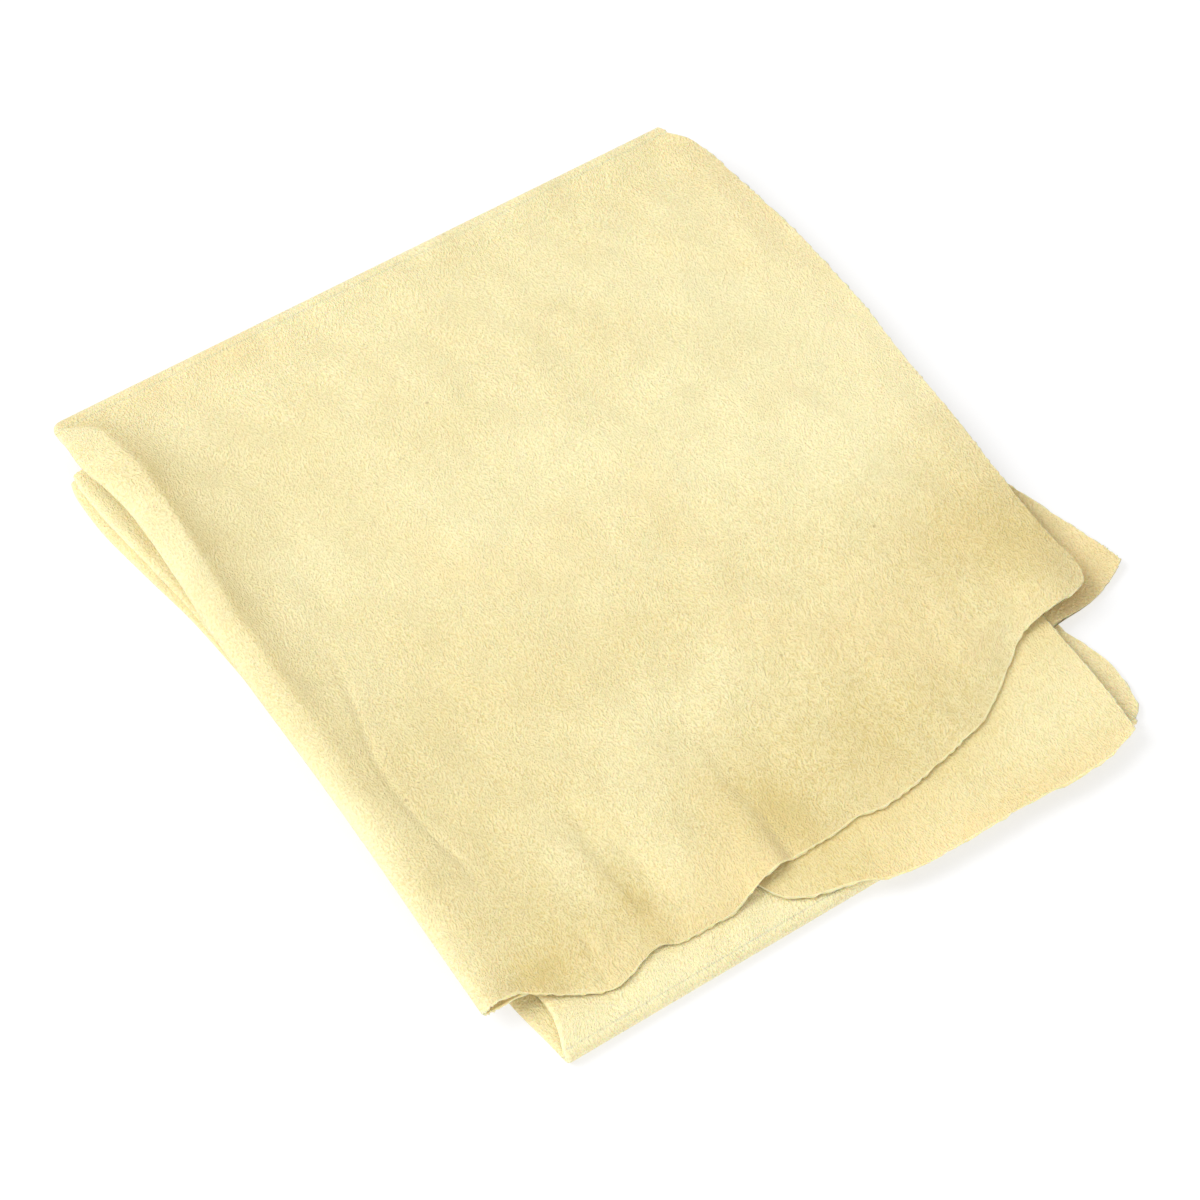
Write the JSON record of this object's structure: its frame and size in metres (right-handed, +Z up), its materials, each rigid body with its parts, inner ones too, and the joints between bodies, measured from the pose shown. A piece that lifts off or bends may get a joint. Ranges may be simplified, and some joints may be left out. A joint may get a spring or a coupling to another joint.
{
  "type": "folded chamois leather",
  "caption": "Soft cream-yellow chamois skin for wiping and drying, doubled along its length and pleated into a flat square bundle with raw natural edges.",
  "frame": {"origin": "on the table surface, under the middle of the folded bundle's box", "axes": "+Z up through the layers, +Y from the front crease to the back crease, +X from the side folds to the raw right-hand edges"},
  "size_m": [0.2446, 0.2668, 0.0198],
  "materials": {
    "chamois_suede": "napped suede, matt, undyed oil-tanned skin"
  },
  "bodies": {
    "lower_leaf": {"base_upper": "chamois_suede", "base_panel": "chamois_suede", "lower_side_fold": "chamois_suede", "front_fold_outer": "chamois_suede", "front_fold_inner": "chamois_suede", "front_corner_fold": "chamois_suede"},
    "middle_leaf": {"middle_panel": "chamois_suede", "middle_underside": "chamois_suede", "middle_side_fold": "chamois_suede", "back_fold_outer": "chamois_suede", "back_fold_inner": "chamois_suede", "back_corner_fold": "chamois_suede"},
    "upper_leaf": {"top_panel": "chamois_suede", "top_underside": "chamois_suede", "upper_side_fold": "chamois_suede"}
  },
  "joints": [
    {"name": "front_fold", "type": "hinge", "parent": "lower_leaf", "child": "middle_leaf", "pos_m": [0, -0.12569, 0.0026], "axis": [1, 0, 0], "range_deg": [0, 180], "deforming": ["front_fold_outer", "front_fold_inner", "front_corner_fold"]},
    {"name": "back_fold", "type": "hinge", "parent": "middle_leaf", "child": "upper_leaf", "pos_m": [0, 0.12726, 0.0091], "axis": [-1, 0, 0], "range_deg": [0, 180], "deforming": ["back_fold_outer", "back_fold_inner", "back_corner_fold"]}
  ]
}
